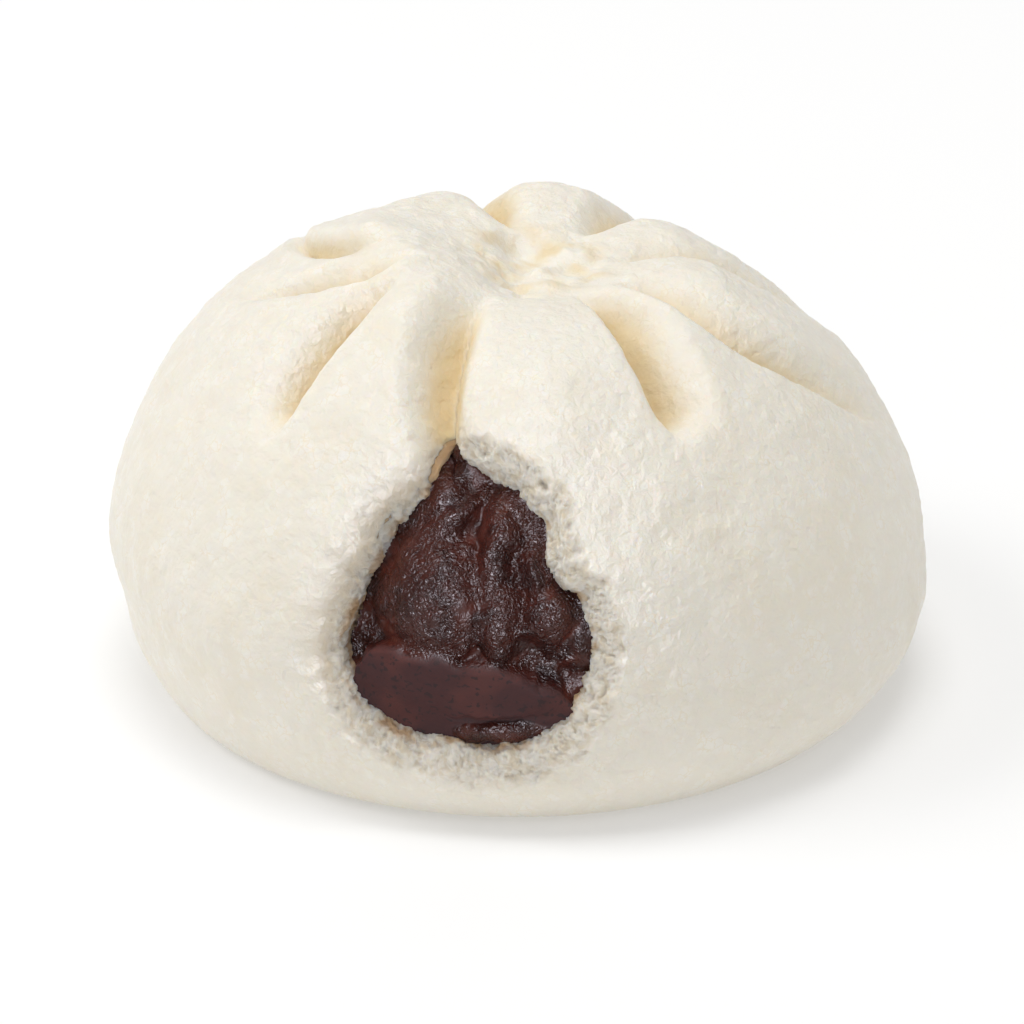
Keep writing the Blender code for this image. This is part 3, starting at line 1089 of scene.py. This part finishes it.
def paste_colour(look, facet, filmy):
    """Dark paste, redder in places, under a grey-brown film. The cut face has ruddy patches and specks."""
    red = look.spread(look.noise(size=3.2), 0.36, 0.56)
    body = look.blend(red, PASTE_DARK, PASTE_RED)
    body = look.blend(look.maths("MULTIPLY", filmy, 0.75), body, PASTE_FILM)
    ruddy = look.spread(look.noise(size=6.0), 0.45, 0.65, to_high=0.35)
    specks = look.spread(look.noise(size=0.7, distortion=0.5), 0.58, 0.64, to_high=0.8)
    cut = look.blend(specks, look.blend(ruddy, PASTE_CUT, PASTE_RED), PASTE_SPECK)
    return look.blend(facet, body, cut)


def paste_wrinkles(look, filmy):
    """The film's pillows and waves, and fine grain all over."""
    folds = look.maths("SUBTRACT", look.noise(size=1.0, distortion=1.0), 0.5)
    pillows = look.spread(look.maths("ABSOLUTE", folds), 0.0, 0.07)
    pillowy = look.bump(look.maths("MULTIPLY", pillows, filmy), distance=0.05)
    waves = look.noise(size=0.8, detail=1.0, distortion=1.8)
    wavy = look.bump(look.maths("MULTIPLY", waves, filmy), distance=0.38, under=pillowy)
    return look.bump(look.noise(size=0.5, detail=3.0), distance=0.05, under=wavy)


def paste_material():
    """Bean paste: a wet wrinkled film over dark red-brown, and a duller face where it was cut."""
    look = Shading("bean_paste_film")
    facet = look.field("facet")
    filmy = look.field("filmy")
    look.put(paste_colour(look, facet, filmy), look.shader.inputs["Base Color"])
    film_roughness = look.spread(filmy, 0.0, 1.0, to_low=0.45, to_high=0.24)
    cut_roughness = look.spread(facet, 0.0, 1.0, to_high=0.90)
    look.put(look.maths("MAXIMUM", film_roughness, cut_roughness), look.shader.inputs["Roughness"])
    look.put(paste_wrinkles(look, filmy), look.shader.inputs["Normal"])
    look.shader.inputs["Specular IOR Level"].default_value = 0.3
    look.scatter(weight=0.2, radius=(1.0, 0.3, 0.2), scale=0.8)
    return look.material


# ---- the stage ----


def make_floor():
    """A plain white floor, which glows a little so that it runs on into the background."""
    side = FLOOR_SIDE / 2
    mesh = bpy.data.meshes.new("floor")
    corners = [(-side, -side, 0), (side, -side, 0), (side, side, 0), (-side, side, 0)]
    mesh.from_pydata(corners, [], [(0, 1, 2, 3)])
    ground = bpy.data.objects.new("floor", mesh)
    look = Shading("white_floor")
    look.put(FLOOR_WHITE, look.shader.inputs["Base Color"])
    look.put(FLOOR_GLOW, look.shader.inputs["Emission Color"])
    look.put(FLOOR_EMISSION, look.shader.inputs["Emission Strength"])
    look.put(FLOOR_ROUGHNESS, look.shader.inputs["Roughness"])
    look.put(0.0, look.shader.inputs["Specular IOR Level"])
    mesh.materials.append(look.material)
    bpy.context.scene.collection.objects.link(ground)
    return ground


def make_camera():
    """The camera, in front of the bun and a little above it."""
    camera = bpy.data.cameras.new("camera")
    camera.lens = CAMERA_LENS
    camera.sensor_width = SENSOR_WIDTH
    camera.clip_start = CLIP_START
    camera_object = bpy.data.objects.new("camera", camera)
    away = Vector((0, -cos(CAMERA_TILT), sin(CAMERA_TILT)))
    camera_object.location = CAMERA_AIM + CAMERA_DISTANCE * away
    camera_object.rotation_euler = (pi / 2 - CAMERA_TILT, 0, 0)
    bpy.context.scene.collection.objects.link(camera_object)
    bpy.context.scene.camera = camera_object


def add_lamp(lamp):
    """A square lamp that points at the bun."""
    light = bpy.data.lights.new(lamp.name, "AREA")
    light.size = lamp.size
    light.energy = lamp.energy
    light.color = lamp.colour
    light_object = bpy.data.objects.new(lamp.name, light)
    light_object.location = lamp.place
    towards_bun = LAMP_AIM - light_object.location
    light_object.rotation_euler = towards_bun.to_track_quat("-Z", "Y").to_euler()
    light_object.visible_diffuse = lamp.lights_matt
    light_object.visible_glossy = lamp.lights_gloss
    bpy.context.scene.collection.objects.link(light_object)


def make_world():
    """An even white glow all round: full to the camera, less on matt surfaces, and faint in gloss."""
    world = bpy.data.worlds.new("world")
    world.use_nodes = True
    nodes = world.node_tree.nodes
    links = world.node_tree.links
    path = nodes.new("ShaderNodeLightPath")
    glow = nodes.new("ShaderNodeMapRange")
    glow.inputs["To Min"].default_value = WORLD_ON_MATT
    glow.inputs["To Max"].default_value = WORLD_IN_GLOSS
    links.new(path.outputs["Is Glossy Ray"], glow.inputs["Value"])
    seen = nodes.new("ShaderNodeMath")
    seen.operation = "MAXIMUM"
    links.new(path.outputs["Is Camera Ray"], seen.inputs[0])
    links.new(glow.outputs["Result"], seen.inputs[1])
    links.new(seen.outputs["Value"], nodes["Background"].inputs["Strength"])
    nodes["Background"].inputs["Color"].default_value = (1, 1, 1, 1)
    bpy.context.scene.world = world


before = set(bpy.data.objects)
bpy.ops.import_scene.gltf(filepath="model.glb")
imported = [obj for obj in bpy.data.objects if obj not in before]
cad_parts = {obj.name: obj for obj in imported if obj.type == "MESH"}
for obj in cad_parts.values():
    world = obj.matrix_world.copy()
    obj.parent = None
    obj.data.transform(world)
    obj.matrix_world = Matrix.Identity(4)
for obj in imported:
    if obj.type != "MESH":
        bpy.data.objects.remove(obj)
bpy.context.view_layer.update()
dough = make_dough()
dough.data.materials.append(dough_material())
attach(dough, "root")
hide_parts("dough")
paste = make_paste()
paste.data.materials.append(paste_material())
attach(paste, "root")
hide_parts("bean_paste")

floor = make_floor()
make_camera()
for lamp in LAMPS:
    add_lamp(lamp)
make_world()
bpy.context.scene.view_settings.view_transform = "Standard"
